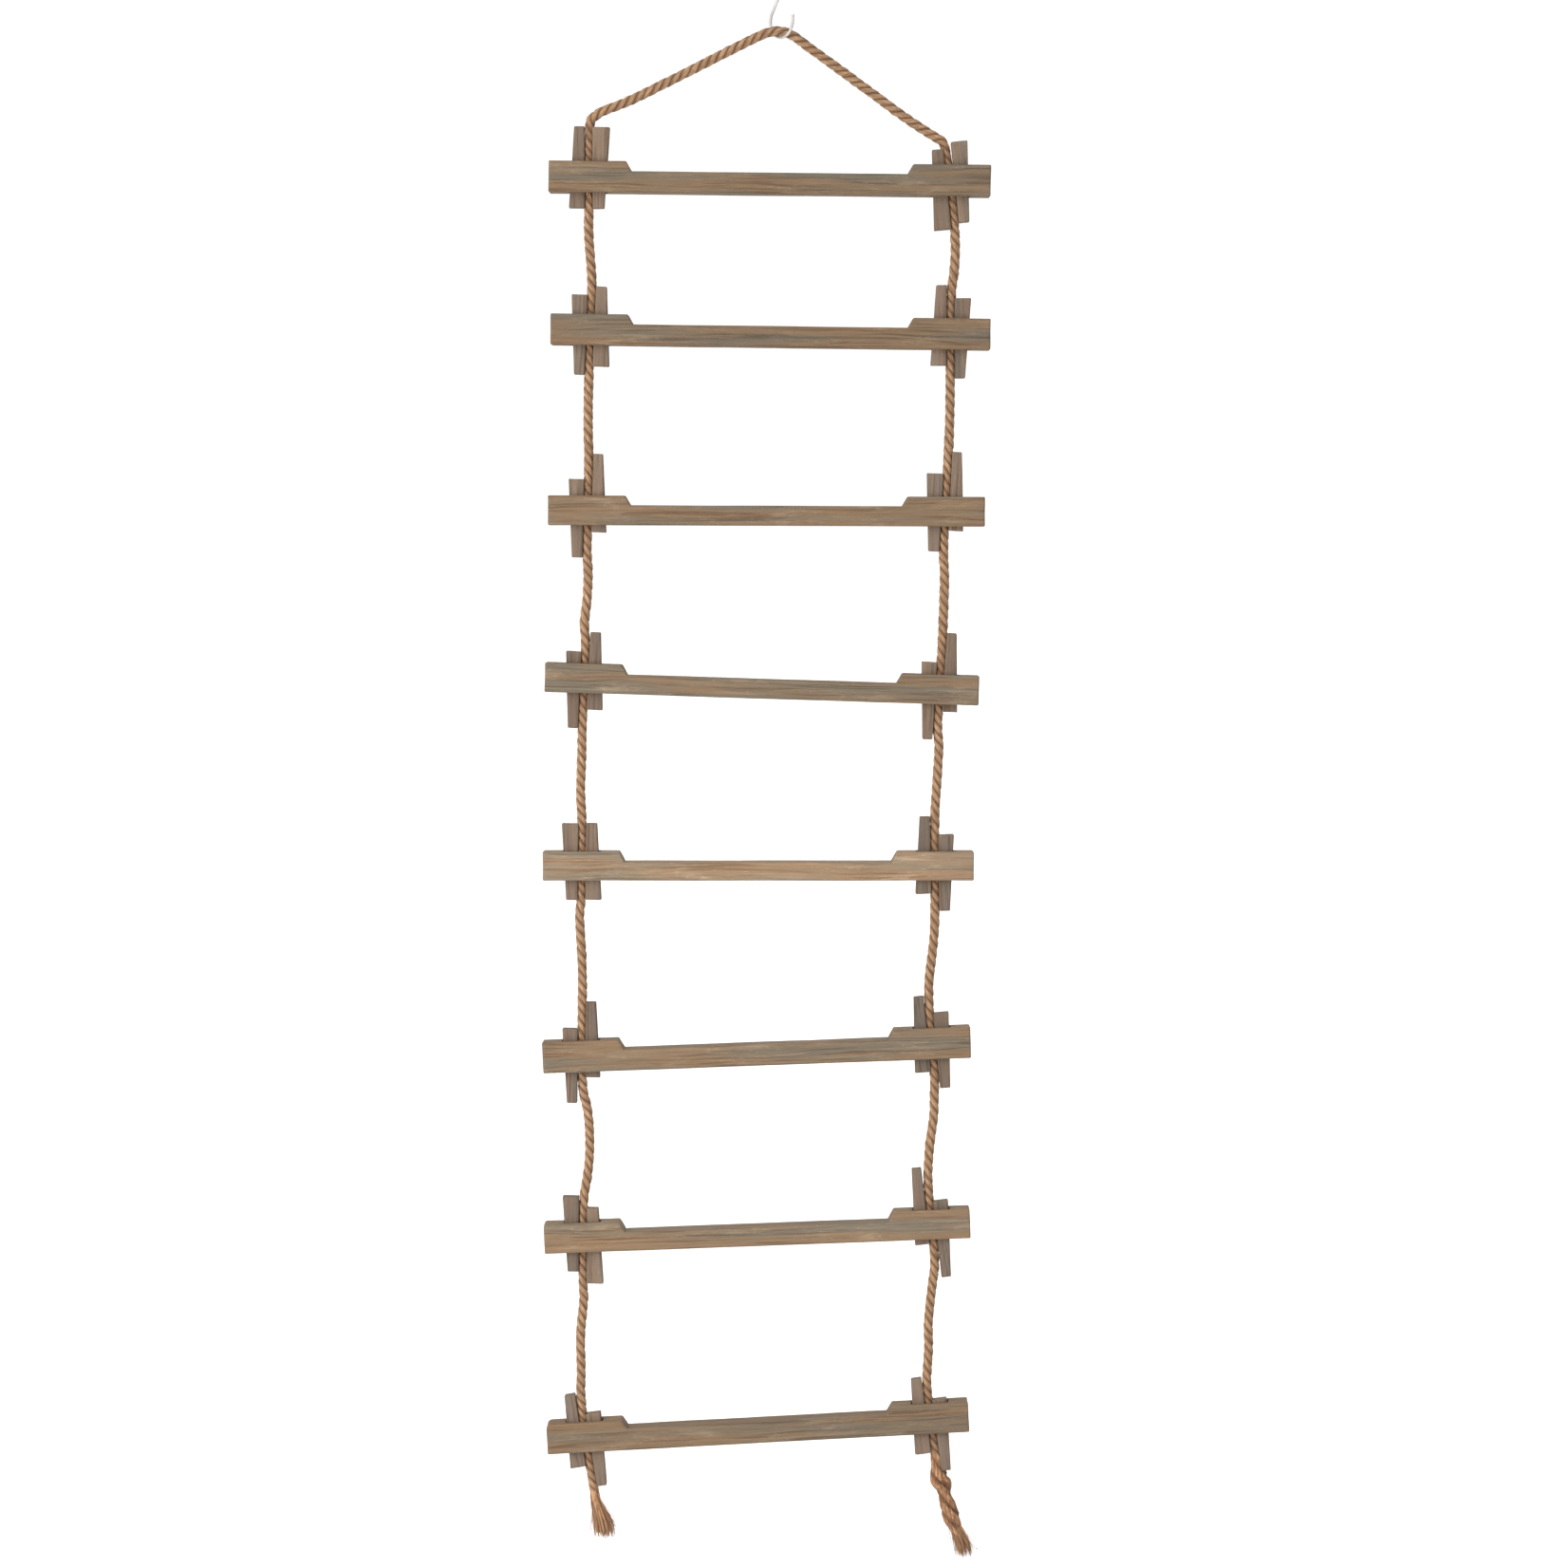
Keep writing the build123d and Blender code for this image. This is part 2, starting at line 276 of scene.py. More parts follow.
over = [Vector((x, 0, z)) for x, z in BIGHT]
line = read_spline([*reversed(fall("left")), *over, *fall("right")])
steps = np.linalg.norm(np.diff(line, axis=0), axis=1)
travelled = np.concatenate([[0], np.cumsum(steps)])
along = np.linspace(0, travelled[-1], int(travelled[-1] / RING_STEP))
centre = np.stack([np.interp(along, travelled, line[:, i]) for i in range(3)], axis=1)
heading = np.gradient(centre, axis=0)
heading /= np.linalg.norm(heading, axis=1)[:, None]
sideways = np.cross(heading, FRONT)
top_ring = int(np.argmax(centre[:, 2]))


def ring_at(side, height):
    """The ring of the rope's mesh nearest to a height on one side."""
    first, last = (0, top_ring) if side == "left" else (top_ring, len(along))
    return first + int(np.argmin(np.abs(centre[first:last, 2] - height)))


def waver(places, seed, *waves):
    """A smooth uneven value along the rope: waves are (wavelength, size) pairs."""
    rng = random.Random(seed)
    total = np.zeros(len(places))
    for wavelength, size in waves:
        for stretch in (0.8, 1.0, 1.37):
            turns = places / (wavelength * stretch) + rng.random()
            total += size / 2 * np.sin(2 * np.pi * turns)
    return total


# ---------------------------------------------------------------- mesh helpers


def new_piece(name, mesh, matrix=None):
    """An object with that mesh, smooth shaded, in the scene."""
    piece = bpy.data.objects.new(name, mesh)
    piece.matrix_world = matrix or Matrix.Identity(4)
    bpy.context.scene.collection.objects.link(piece)
    mesh.polygons.foreach_set("use_smooth", np.ones(len(mesh.polygons), bool))
    return piece


def give(mesh, name, kind, values):
    """A point attribute for the materials to read."""
    key = "vector" if kind == "FLOAT_VECTOR" else "value"
    attribute = mesh.attributes.new(name, kind, "POINT")
    attribute.data.foreach_set(key, np.asarray(values, np.float32).ravel())


class Tubes:
    """Gathers tubes into one mesh, with what the fibre material reads at each point."""

    def __init__(self):
        self.places, self.grain, self.gap, self.faces = [], [], [], []
        self.count = 0

    def add(self, rings, grain, gap, capped=False):
        """One tube: rings, grain are (rings, sides, 3) arrays and gap is (rings, sides)."""
        n, sides = rings.shape[:2]
        corner = np.arange(n * sides).reshape(n, sides) + self.count
        turned = np.roll(corner, -1, axis=1)
        quads = np.stack([corner[:-1], turned[:-1], turned[1:], corner[1:]], axis=-1)
        self.faces += quads.reshape(-1, 4).tolist()
        if capped:
            self.faces += [corner[0][::-1].tolist(), corner[-1].tolist()]
        self.places.append(rings.reshape(-1, 3))
        self.grain.append(grain.reshape(-1, 3))
        self.gap.append(gap.ravel())
        self.count += n * sides

    def piece(self, name):
        """The gathered tubes as one object."""
        mesh = bpy.data.meshes.new(name)
        mesh.from_pydata(np.concatenate(self.places).tolist(), [], self.faces)
        give(mesh, "grain", "FLOAT_VECTOR", np.concatenate(self.grain))
        give(mesh, "gap", "FLOAT", np.concatenate(self.gap))
        return new_piece(name, mesh)


def hair(tubes, path, width, rng, gap=0.0, sides=3, blunt=2):
    """One loose fibre along a path of a few points, thinned towards its tip."""
    path = np.asarray(path, float)
    n = len(path)
    run = np.gradient(path, axis=0)
    run /= np.linalg.norm(run, axis=1)[:, None] + 1e-12
    first = np.cross(run, (0.31, 0.9, 0.29))
    first /= np.linalg.norm(first, axis=1)[:, None]
    second = np.cross(run, first)
    angle = 2 * np.pi * np.arange(sides) / sides
    radius = width / 2 * (1 - 0.75 * np.linspace(0, 1, n) ** blunt)
    cos, sin = np.cos(angle)[None, :, None], np.sin(angle)[None, :, None]
    offset = first[:, None] * cos + second[:, None] * sin
    rings = path[:, None] + offset * radius[:, None, None]
    start = rng.random() * 3
    grain = np.empty((n, sides, 3))
    grain[..., 0] = start + np.linalg.norm(path - path[0], axis=1)[:, None]
    grain[..., 1] = start * 7 + width / 2 * np.cos(angle)
    grain[..., 2] = width / 2 * np.sin(angle)
    tubes.add(rings, grain, np.full((n, sides), gap), capped=True)


# ---------------------------------------------------------------- laid rope


pinched = np.zeros(len(along))  # 1 where both wedges of a slot press the rope, 0 in the open; there the rope is narrowed and gets painted shade
for (number, side), (_, _, left_ends, right_ends) in PACKS.items():
    middle = slot_centre(number, side).z
    top = middle + min(left_ends[1], right_ends[1])
    bottom = middle + max(left_ends[0], right_ends[0])
    rows = slice(0, top_ring) if side == "left" else slice(top_ring, None)
    height = centre[rows, 2]
    below, above = (height - bottom) / PINCH_FADE, (top - height) / PINCH_FADE
    pinched[rows] += np.clip(below + 0.5, 0, 1) * np.clip(above + 0.5, 0, 1)


def lay_strands(tubes, rows, seed, loose, spread=1.0, thick=1.0, slack=1.0, start=0):
    """The three strands of the rope over a range of rings.

    spread and thick are per ring: how far the strands stand apart and how thick they are, against
    the tight rope's.  slack is how much longer one turn is than the tight rope's, counted from
    the start ring.  loose is how many loose fibres lie along a metre of strand.
    """
    place, at, side_axis, pinch = along[rows], centre[rows], sideways[rows], pinched[rows][:, None]
    n = len(place)
    spread, thick = np.broadcast_to(spread, n), np.broadcast_to(thick, n)
    front = np.array(FRONT)
    turned = place + (1 / slack - 1) * (place - along[start])
    turn = 2 * np.pi * turned / LAY_LENGTH + waver(place, "lay", (0.11, 0.16), (0.33, 0.25))
    around = 2 * np.pi * np.arange(STRAND_SIDES) / STRAND_SIDES
    widest = REACH_LIMIT * spread[:, None] - PINCH * pinch
    loosened = np.clip(2 * (spread - 1), 0, 1)[:, None]  # 1 where the yarns come apart
    rng = random.Random(f"loose {seed}")
    for strand in range(3):
        phase = turn + 2 * np.pi * strand / 3
        radius = STRAND_RADIUS * thick * (1 + waver(place, strand, (0.023, 0.03), (0.061, 0.03)))
        offset = STRAND_OFFSET * spread * (1 + waver(place, strand + 9, (0.05, 0.03)))
        yarn = around[None, :] + 2 * np.pi * place[:, None] / LAY_LENGTH
        ridge = np.cos(YARNS * yarn + waver(place, strand + 3, (0.017, 0.9))[:, None])
        groove = (0.03 + 0.09 * loosened) * ridge
        groove = groove + 0.02 * np.cos(2 * yarn + waver(place, strand, (0.02, 2))[:, None])
        reach = radius[:, None] * (1 + groove)
        outward = offset[:, None] + reach * np.cos(around)[None, :]
        circling = reach * np.sin(around)[None, :] * STRAND_FLATTENING
        cos, sin = np.cos(phase)[:, None], np.sin(phase)[:, None]
        to_side = np.clip(outward * cos - circling * sin, -widest, widest)
        to_front = outward * sin + circling * cos
        rings = at[:, None] + side_axis[:, None] * to_side[..., None] + front * to_front[..., None]
        grain = np.stack(
            [
                np.broadcast_to(place[:, None], yarn.shape) + strand * 7,
                STRAND_RADIUS * np.cos(yarn),
                STRAND_RADIUS * np.sin(yarn),
            ],
            axis=-1,
        )
        # Painted shade: darker towards the gaps between the strands, where both wedges press the
        # rope, and between the yarns of loosened strands
        depth = np.hypot(outward, circling) / (offset + radius)[:, None]
        gap = np.clip((GAP_DEPTH - depth) / GAP_FADE, 0, 1) * (1 - 0.1 * loosened)
        gap = gap + PINCH_SHADE * pinch + YARN_SHADE * loosened * np.clip(-ridge, 0, 1)
        gap = np.clip(gap, 0, 1)
        tubes.add(rings, grain, gap)
        swell = rings - rings.mean(axis=1, keepdims=True)
        for _ in range(int(loose * RING_STEP * n)):
            length = rng.randint(6, 26)
            first = rng.randint(0, max(0, n - length - 1))
            picked = np.arange(first, min(n, first + length), 2)
            if len(picked) < 3:
                continue
            corner = rng.random() * STRAND_SIDES + rng.uniform(-0.25, 0.25) * (picked - first)
            corner = corner.astype(int) % STRAND_SIDES
            lift = 1 + rng.uniform(0.02, 0.10) * np.sin(np.linspace(0.3, 3.0, len(picked)))
            path = rings[picked, corner] + swell[picked, corner] * (lift - 1)[:, None]
            # A loose fibre takes the painted shade of the strand under it, and sometimes a darker
            # tone at random
            shade = float(gap[picked, corner].mean()) + rng.choice((0, 0, 0.2, 0.6))
            hair(tubes, path, rng.uniform(*LOOSE_WIDTH), rng, min(1.0, shade))


def fuzz(tubes, rows, per_metre, seed, reach=0.0022):
    """Short fibre ends that stand off the rope's surface."""
    rng = random.Random(seed)
    for _ in range(int(per_metre * RING_STEP * len(rows))):
        i = rng.choice(rows)
        angle = rng.random() * 2 * math.pi
        outward = sideways[i] * math.cos(angle) + np.array(FRONT) * math.sin(angle)
        circling = -sideways[i] * math.sin(angle) + np.array(FRONT) * math.cos(angle)
        root = centre[i] + outward * (ROPE_RADIUS * 0.93)
        stand = rng.uniform(0.25, 1.0) * reach
        drift = heading[i] * rng.uniform(-1, 1) + circling * rng.uniform(-0.5, 0.5)
        length = rng.uniform(0.002, 0.009)
        curl = circling * rng.uniform(-0.0012, 0.0012)
        path = []
        for t in np.linspace(0, 1, 5):
            lift = outward * (stand * math.sin(t * math.pi * 0.62))
            path.append(root + lift + drift * (length * t) + curl * t * t)
        hair(tubes, path, rng.uniform(*FUZZ_WIDTH), rng)


def rope_piece(node, first, last, body, upper_body=None):
    """One length of the rope between two rings, which stands for one CAD node."""
    low, high = min(first, last), max(first, last)
    rows = np.arange(low, high + 1)
    tubes = Tubes()
    lay_strands(tubes, rows, node, STRAND_FIBRES)
    fuzz(tubes, rows[2:-2], ROPE_FUZZ, node)
    piece = tubes.piece(f"laid_{node}")
    piece.data.materials.append(rope_material)
    if upper_body:
        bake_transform(piece)
    else:
        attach(piece, body)
    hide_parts(node)
    return piece


# ---------------------------------------------------------------- materials


class Shader:
    """A material whose nodes are added one call at a time."""

    def __init__(self, name):
        self.material = bpy.data.materials.new(name)
        self.material.use_nodes = True
        self.nodes = self.material.node_tree.nodes
        self.links = self.material.node_tree.links
        self.surface = self.nodes["Principled BSDF"]

    def put(self, socket, value):
        """Sets an input to a number or links it to an output."""
        if isinstance(value, bpy.types.NodeSocket):
            self.links.new(value, socket)
        else:
            socket.default_value = value

    def add(self, kind, output=0, settings=None, **inputs):
        """Adds a node, sets it up, and gives one of its outputs; _0 is the node's first input."""
        node = self.nodes.new(kind)
        for key, value in (settings or {}).items():
            setattr(node, key, value)
        for key, value in inputs.items():
            self.put(node.inputs[int(key[1:]) if key[0] == "_" else key], value)
        return node.outputs[output]

    def attribute(self, name, output="Fac"):
        return self.add("ShaderNodeAttribute", output, {"attribute_name": name})

    def stretched(self, vector, scale):
        """The coordinates times a scale for each axis."""
        return self.add("ShaderNodeVectorMath", 0, {"operation": "MULTIPLY"}, _0=vector, _1=scale)

    def noise(self, vector, detail=3.0, rough=0.55):
        settings = {"Scale": 1.0, "Detail": detail, "Roughness": rough}
        return self.add("ShaderNodeTexNoise", Vector=vector, **settings)

    def band(self, value, low, high):
        """0 below low, 1 above high, smooth between; the other way round if high is less."""
        settings = {"interpolation_type": "SMOOTHSTEP"}
        return self.add("ShaderNodeMapRange", 0, settings, _0=value, _1=low, _2=high)

    def math(self, operation, a, b):
        return self.add("ShaderNodeMath", 0, {"operation": operation}, _0=a, _1=b)

    def mix(self, share, a, b, blend="MIX"):
        """Two colours mixed by a share."""
        node = self.nodes.new("ShaderNodeMix")
        node.data_type = "RGBA"
        node.blend_type = blend
        self.put(node.inputs[0], share)
        self.put(node.inputs[6], a)
        self.put(node.inputs[7], b)
        return node.outputs[2]

    def bump(self, height, distance, strength=1.0, normal=None):
        node = self.nodes.new("ShaderNodeBump")
        node.inputs["Distance"].default_value = distance
        node.inputs["Strength"].default_value = strength
        self.put(node.inputs["Height"], height)
        if normal:
            self.put(node.inputs["Normal"], normal)
        return node.outputs[0]


def paint(red, green, blue):
    """A colour given as screen values from 0 to 255, as the shader's linear values."""
    return (*(((v / 255 + 0.055) / 1.055) ** 2.4 for v in (red, green, blue)), 1)


def wood(name, base, grey, warm, pale):
    """Weathered wood: grain runs along the first axis of the piece's grain coordinates."""
    s = Shader(name)
    grain = s.attribute("grain", "Vector")
    worn = s.attribute("worn")
    warp = s.noise(s.stretched(grain, (5, 45, 45)), detail=2)
    bend = {"operation": "MULTIPLY_ADD"}
    bent = s.add("ShaderNodeVectorMath", 0, bend, _0=warp, _1=(0, 0.006, 0.012), _2=grain)
    broad = s.noise(s.stretched(bent, (3.5, 75, 75)), detail=2)
    second = s.noise(s.stretched(bent, (5, 130, 130)), detail=2)
    streak = s.noise(s.stretched(bent, (9, 420, 420)), detail=3, rough=0.6)
    fine = s.noise(s.stretched(bent, (40, 1900, 1900)), detail=3, rough=0.6)
    patch = s.noise(s.stretched(grain, (16, 90, 90)), detail=5, rough=0.7)
    colour = s.mix(s.band(broad, 0.36, 0.6), grey, base)
    colour = s.mix(s.math("MULTIPLY", s.band(second, 0.48, 0.7), 0.8), colour, warm)
    colour = s.mix(s.math("MULTIPLY", s.band(patch, 0.52, 0.78), 0.55), colour, pale)
    dark = s.mix(1.0, colour, paint(190, 180, 172), "MULTIPLY")
    colour = s.mix(s.math("MULTIPLY", s.band(streak, 0.5, 0.34), 0.75), colour, dark)
    colour = s.mix(s.math("MULTIPLY", s.band(streak, 0.56, 0.7), 0.25), colour, pale)
    colour = s.mix(s.math("MULTIPLY", s.band(fine, 0.55, 0.3), 0.4), colour, dark)
    fleck = s.noise(s.stretched(bent, (150, 1100, 1100)), detail=3, rough=0.65)
    rough_spots = s.math("MULTIPLY", s.band(fleck, 0.56, 0.7), s.band(patch, 0.42, 0.62))
    colour = s.mix(s.math("MULTIPLY", rough_spots, 0.5), colour, pale)
    # Every edge a little darker towards this colour: painted edge shade, along with wear
    colour = s.mix(s.math("MULTIPLY", worn, 0.12), colour, paint(74, 62, 52))
    toned = s.nodes.new("ShaderNodeVectorMath")
    toned.operation = "SCALE"
    s.put(toned.inputs[0], colour)
    s.put(toned.inputs["Scale"], s.attribute("tone"))
    s.put(s.surface.inputs["Base Color"], toned.outputs[0])
    s.put(s.surface.inputs["Roughness"], s.band(fine, -0.9, 1.1))
    s.surface.inputs["Specular IOR Level"].default_value = 0.25
    relief = s.bump(streak, 0.0006, 0.6)
    s.put(s.surface.inputs["Normal"], s.bump(fine, 0.0003, 0.7, relief))
    return s.material


def fibre(name, light, dark, deep):
    """Laid natural fibre: light on the strands' crowns and painted shade in the gaps between them,
    from the gap value, which also gives the brush fibres their tone.
    """
    s = Shader(name)
    grain = s.attribute("grain", "Vector")
    gap = s.attribute("gap")
    yarn = s.noise(s.stretched(grain, (45, 900, 900)), detail=3, rough=0.6)
    thread = s.noise(s.stretched(grain, (160, 3200, 3200)), detail=3, rough=0.6)
    blotch = s.noise(s.stretched(grain, (22, 22, 22)), detail=3)
    colour = s.mix(s.band(yarn, 0.35, 0.65), dark, light)
    colour = s.mix(s.math("MULTIPLY", s.band(thread, 0.58, 0.36), 0.5), colour, deep)
    colour = s.mix(s.math("MULTIPLY", s.band(blotch, 0.45, 0.7), 0.4), colour, dark)
    # Painted shade: the gap value mixes in the deep colour
    colour = s.mix(s.math("MULTIPLY", gap, 0.68), colour, deep)
    s.put(s.surface.inputs["Base Color"], colour)
    s.surface.inputs["Roughness"].default_value = 0.85
    s.surface.inputs["Specular IOR Level"].default_value = 0.2
    s.surface.inputs["Sheen Weight"].default_value = 0.15
    s.surface.inputs["Sheen Roughness"].default_value = 0.5
    relief = s.bump(yarn, 0.0006, 0.8)
    s.put(s.surface.inputs["Normal"], s.bump(thread, 0.0003, 0.9, relief))
    return s.material


def wire(name):
    """Bright zinc wire with drawn scratches and a little dulling."""
    s = Shader(name)
    place = s.add("ShaderNodeTexCoord", "Object")
    dull = s.noise(s.stretched(place, (260, 260, 90)), detail=4)
    scratch = s.noise(s.stretched(place, (2600, 2600, 300)), detail=2)
    colour = s.mix(s.band(dull, 0.35, 0.7), paint(186, 183, 179), paint(170, 166, 162))
    s.put(s.surface.inputs["Base Color"], colour)
    rough = s.add("ShaderNodeMapRange", 0, _0=dull, _1=0.3, _2=0.7, _3=0.45, _4=0.6)
    s.put(s.surface.inputs["Roughness"], rough)
    s.surface.inputs["Metallic"].default_value = 0.7
    s.put(s.surface.inputs["Normal"], s.bump(scratch, 0.00003, 0.3))
    return s.material


RUNG_PAINTS = (paint(114, 93, 71), paint(100, 90, 76), paint(118, 93, 69), paint(149, 130, 108))
WEDGE_PAINTS = (paint(108, 91, 76), paint(98, 87, 76), paint(108, 88, 74), paint(126, 110, 94))
rung_wood = wood("rung_wood", *RUNG_PAINTS)
wedge_wood = wood("wedge_wood", *WEDGE_PAINTS)
rope_material = fibre("rope_fibre", paint(170, 137, 104), paint(131, 101, 74), paint(88, 58, 37))
tail_material = fibre("tail_fibre", paint(204, 160, 118), paint(142, 103, 72), paint(80, 43, 25))
hook_metal = wire("hook_wire")


# ---------------------------------------------------------------- rope pieces

# Goes over each fold and reads the wedge ends of the rung below it; nothing is kept from them
for number, height in FOLDS.items():
    for side in ("left", "right"):
        left_ends, right_ends = PACKS[number + 1, side][2:]


# The loose ends.  Opening rows are (height, how far the strands stand apart, how thick they are);
# the brush rows say where the loose fibres start and end and how widely they fan.
TAIL_OPENING = {
    "left": [(-1.628, 1.0, 1.0), (-1.650, 1.15, 1.0), (-1.664, 1.5, 0.6)],
    "right": [
        (-1.588, 1.0, 1.0),
        (-1.600, 1.3, 1.3),
        (-1.611, 2.0, 1.65),
        (-1.620, 2.35, 1.8),
        (-1.631, 1.25, 1.3),
        (-1.643, 1.75, 1.55),
        (-1.657, 1.9, 1.6),
        (-1.668, 1.5, 1.2),
        (-1.678, 1.5, 0.6),
    ],
}
TAIL_SLACK = {"left": 3.0, "right": 2.1}
BRUSH = {
    "left": {"root": -1.630, "tip": (-0.1893, -1.6760), "half": (0.0130, 0.009), "yarns": 44},
    "right": {"root": -1.655, "tip": (0.1955, -1.6970), "half": (0.0095, 0.008), "yarns": 34},
}
BRUSH_HAIRS = 300
BRUSH_ROOT = 0.0042  # how far from the rope's centre the outermost fibres start
BRUSH_TURNS = 2400  # radians from the first fibre to the last, which spreads them evenly
BRUSH_RAGGED = (-0.0035, 0.0065)  # how much lower and higher than the tip the fibres end
YARN_WIDTH = (0.0012, 0.0022)
HAIR_WIDTH = (0.0003, 0.0006)
# Single long fibres that bow out of the brushes, as (x, z), and how thick they are
STRAY_WIDTH = 0.0006
STRAYS = {
    "left": [
        [(-0.1925, -1.645), (-0.1880, -1.651), (-0.1810, -1.660), (-0.1770, -1.669)],
        [(-0.1930, -1.648), (-0.1870, -1.657), (-0.1790, -1.667), (-0.1745, -1.675)],
        [(-0.2010, -1.655), (-0.2040, -1.664), (-0.2050, -1.674)],
    ],
    "right": [
        [(0.1850, -1.660), (0.1925, -1.669), (0.1985, -1.680), (0.2050, -1.688), (0.2100, -1.692)],
        [(0.1870, -1.664), (0.1940, -1.672), (0.1990, -1.682), (0.2020, -1.690)],
        [(0.1860, -1.658), (0.1915, -1.664), (0.1965, -1.673), (0.2000, -1.684)],
        [(0.1880, -1.668), (0.1960, -1.679), (0.2010, -1.693), (0.2025, -1.700)],
        [(0.1780, -1.664), (0.1795, -1.676), (0.1830, -1.688)],
    ],
}
TIP_KNOT = 0.0018  # the little knot of fibre at the end of the longest one


def brush_fibre(side, rng, stray, place):
    """The path of one loose fibre, from inside the rope's end out to the brush's edge.

    place runs from 0 to 1 over the fibres, which fills the brush evenly from its middle outwards.
    """
    brush = BRUSH[side]
    i = ring_at(side, brush["root"] + rng.uniform(-0.006, 0.004))
    run = heading[i] * (-1 if side == "left" else 1)
    angle = place * BRUSH_TURNS + rng.uniform(-0.3, 0.3)
    out = math.sqrt(place)
    front = np.array(FRONT)
    outward = sideways[i] * math.cos(angle) + front * math.sin(angle)
    root = centre[i] + outward * (out * BRUSH_ROOT)
    x, z = brush["tip"]
    wide, deep = brush["half"]
    to_side = math.cos(angle) * wide * (-1 if sideways[i][0] < 0 else 1)
    spread = np.array((to_side, -math.sin(angle) * deep, 0)) * out
    tip = np.array((x, 0, z + rng.uniform(*BRUSH_RAGGED)))
    tip = tip + spread * rng.uniform(0.85, 1.0 + stray)
    reach = np.linalg.norm(tip - root)
    knee = root + run * reach * rng.uniform(0.3, 0.45)
    hang = tip - (run * 0.4 + np.array((0, 0, -0.6))) * reach * rng.uniform(0.25, 0.45)
    hang = hang + np.array([rng.gauss(0, 1), rng.gauss(0, 1), 0]) * (0.0012 + 0.002 * stray)
    steps = np.linspace(0, 1, 11)[:, None]
    return (
        root * (1 - steps) ** 3
        + knee * 3 * steps * (1 - steps) ** 2
        + hang * 3 * steps**2 * (1 - steps)
        + tip * steps**3
    )


def streak(path):
    """How dark a brush's fibre is, 0 to 1: fibres that hang side by side share it."""
    x = path[-1][0]
    shade = 0.35 + 0.9 * math.sin(1500 * x + 0.8 * math.sin(400 * x))
    return min(1.0, max(0.0, shade))


def tail_piece(side):
    """A frayed end of the rope, which stands for its CAD node."""
    heights, spreads, thicks = zip(*TAIL_OPENING[side])
    start, end = ring_at(side, heights[0]), ring_at(side, heights[-1])
    rows = np.arange(min(start, end), max(start, end) + 1)
    down = -centre[rows, 2]
    tubes = Tubes()
    lay_strands(
        tubes,
        rows,
        side,
        TAIL_STRAND_FIBRES,
        np.interp(down, np.negative(heights), spreads),
        np.interp(down, np.negative(heights), thicks),
        TAIL_SLACK[side],
        start,
    )
    rng = random.Random(side)
    yarns = BRUSH[side]["yarns"]
    for k in range(yarns):
        path = brush_fibre(side, rng, 0.0, (k + 0.5) / yarns)
        hair(tubes, path, rng.uniform(*YARN_WIDTH), rng, streak(path) * rng.uniform(0.7, 1), 6, 8)
    for k in range(BRUSH_HAIRS):
        path = brush_fibre(side, rng, rng.choice((0.1, 0.1, 0.5)), (k + 0.5) / BRUSH_HAIRS)
        hair(tubes, path, rng.uniform(*HAIR_WIDTH), rng, streak(path) * rng.uniform(0.4, 1))
    for k, points in enumerate(STRAYS[side]):
        path = read_spline([Vector((x, -0.002 - 0.0015 * k, z)) for x, z in points])[::12]
        hair(tubes, path, STRAY_WIDTH, rng, 0.3, 4, 6)
        if side == "right" and k == 0:
            knot = path[-1] + np.array([(0, 0, 0.0008), (0.0004, 0, -0.0010)])
            hair(tubes, knot, TIP_KNOT, rng, 0.6, 6)
    fuzz(tubes, rows, TAIL_FUZZ, f"{side} tail", 0.003)
    piece = tubes.piece(f"frayed_{side}_tail")
    piece.data.materials.append(tail_material)
    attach(piece, "section_8")
    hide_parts(f"rope_tail_{side}")
    return piece


tails = {side: tail_piece(side) for side in ("left", "right")}
rope_piece("rope_bight", ring_at("left", FOLDS[1]), ring_at("right", FOLDS[1]), "section_1")
for number in range(2, 9):
    for side in ("left", "right"):
        top = ring_at(side, FOLDS[number - 1])
        bottom = ring_at(side, FOLDS[number] if number in FOLDS else TAIL_OPENING[side][0][0])
        rope_piece(
            f"rope_{side}_{number}",
            top,
            bottom,
            f"section_{number}",
            f"section_{number - 1}",
        )


# ---------------------------------------------------------------- wood pieces


EDGE_WEAR = 0.0002  # how far the edges are worn back, how deep the chips in them go,
EDGE_CHIP = 0.0011  # and how far the faces wave
FACE_WAVE = 0.0003
RUNG_EDGE = 0.0010  # the bevel's width
WEDGE_EDGE = 0.0007
RUNG_STEP = (0.0025, 0.0030, 0.0024)  # between the cuts that give a piece points to wear away
WEDGE_STEP = (0.0024, 0.0024, 0.0022)
ALONG_X = (0, 1, 2)
ALONG_Z = (2, 1, 0)
# How bright each rung's wood is against the usual, and the range for the wedges
RUNG_TONES = {1: 0.88, 2: 0.85, 3: 0.92, 4: 0.96, 5: 1.33, 6: 0.98, 7: 1.04, 8: 0.88}
WEDGE_TONES = (0.84, 1.12)
# The rungs whose upper left corner is worn round, and by how much
ROUND_CORNERS = {7: 0.0025, 8: 0.0050}


def box_mesh(size, at):
    """A box of that size with its middle there."""
    solid = bmesh.new()
    bmesh.ops.create_cube(solid, size=1)
    bmesh.ops.scale(solid, vec=size, verts=solid.verts)
    bmesh.ops.translate(solid, vec=at, verts=solid.verts)
    mesh = bpy.data.meshes.new("box")
    solid.to_mesh(mesh)
    solid.free()
    return mesh


